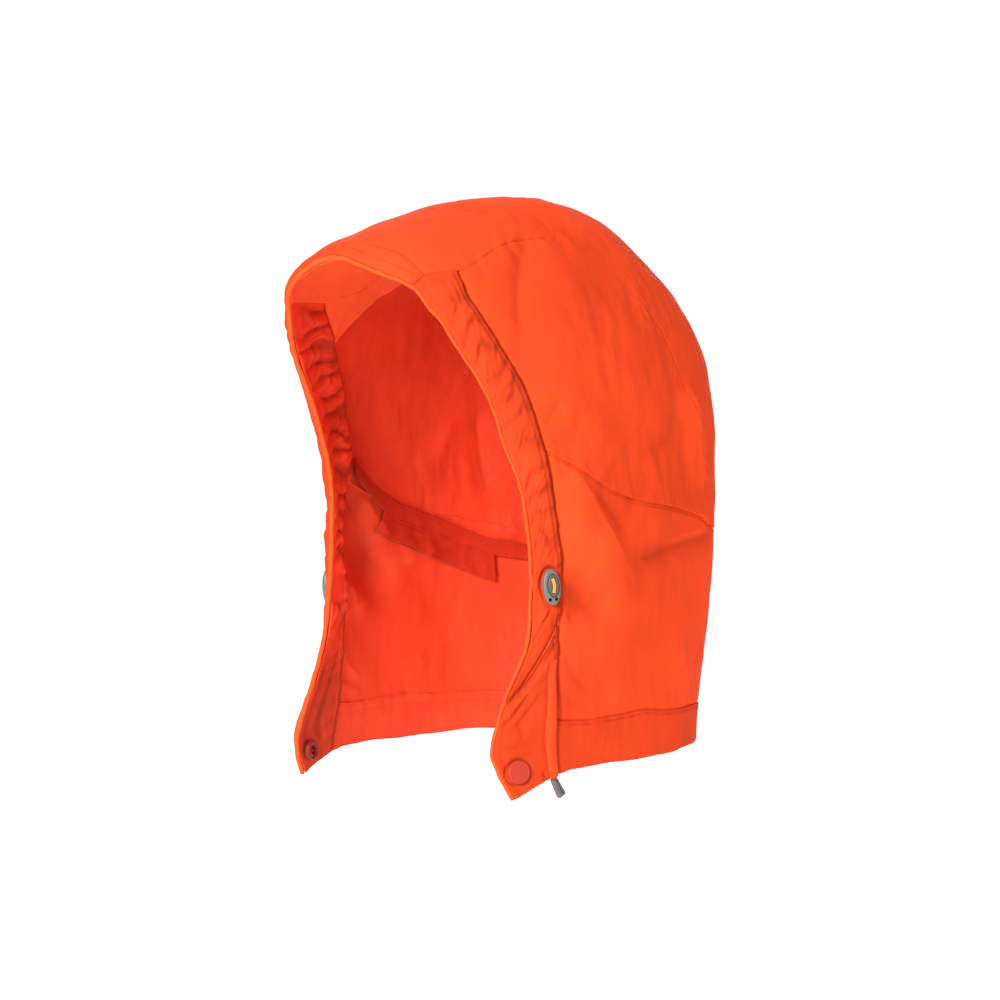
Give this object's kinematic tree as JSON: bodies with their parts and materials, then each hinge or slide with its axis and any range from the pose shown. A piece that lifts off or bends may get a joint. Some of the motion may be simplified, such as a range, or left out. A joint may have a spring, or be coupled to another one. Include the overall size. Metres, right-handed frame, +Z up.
{
  "type": "detachable hood",
  "caption": "Detachable drawstring jacket hood with a peaked brow, puckered front casing, cord locks and snap tabs at the neck.",
  "frame": {"origin": "inside the crown at its highest point, where the top of the head seats", "axes": "+Z up as worn, face opening towards -Y, wearer's left towards +X"},
  "size_m": [0.2166, 0.2991, 0.3576],
  "materials": {
    "shell": "soft matte cloth",
    "shell_deep": "soft matte cloth",
    "lining": "matte cloth",
    "tape": "matte cloth",
    "binding": "rolled matte edge",
    "snap": "painted, satin",
    "lock_body": "satin",
    "lock_button": "satin",
    "lock_bar": "satin",
    "cord_end": "satin"
  },
  "bodies": {
    "hood": {"crown_panel": "shell", "neck_panel": "shell", "hem_band": "shell_deep", "peak": "shell", "peak_lining": "shell_deep", "crown_facing": "shell_deep", "seam_tape": "tape", "front_binding": "binding", "side_panel_left": "shell", "front_casing_left": "shell", "front_facing_left": "lining", "cord_tunnel_left": "shell", "back_patch_left": "tape", "snap_cap_left": "snap", "snap_socket_left": "snap", "lock_housing_left": "lock_body", "side_panel_right": "shell", "front_casing_right": "shell", "front_facing_right": "lining", "cord_tunnel_right": "shell", "back_patch_right": "tape", "snap_cap_right": "snap", "snap_socket_right": "snap", "lock_housing_right": "lock_body", "cord_end_left": "cord_end", "cord_end_right": "cord_end"},
    "lock_button_left": {"lock_button_left": "lock_button", "lock_bar_left": "lock_bar"},
    "lock_button_right": {"lock_button_right": "lock_button", "lock_bar_right": "lock_bar"}
  },
  "joints": [
    {"name": "press_left", "type": "slide", "parent": "hood", "child": "lock_button_left", "axis": [-0.8712, 0.4893, -0.04], "range_m": [0, 0.0012], "stiffness_N_per_m": 400, "springref_m": -0.002},
    {"name": "press_right", "type": "slide", "parent": "hood", "child": "lock_button_right", "axis": [0.8712, 0.4893, -0.04], "range_m": [0, 0.0012], "stiffness_N_per_m": 400, "springref_m": -0.002}
  ]
}
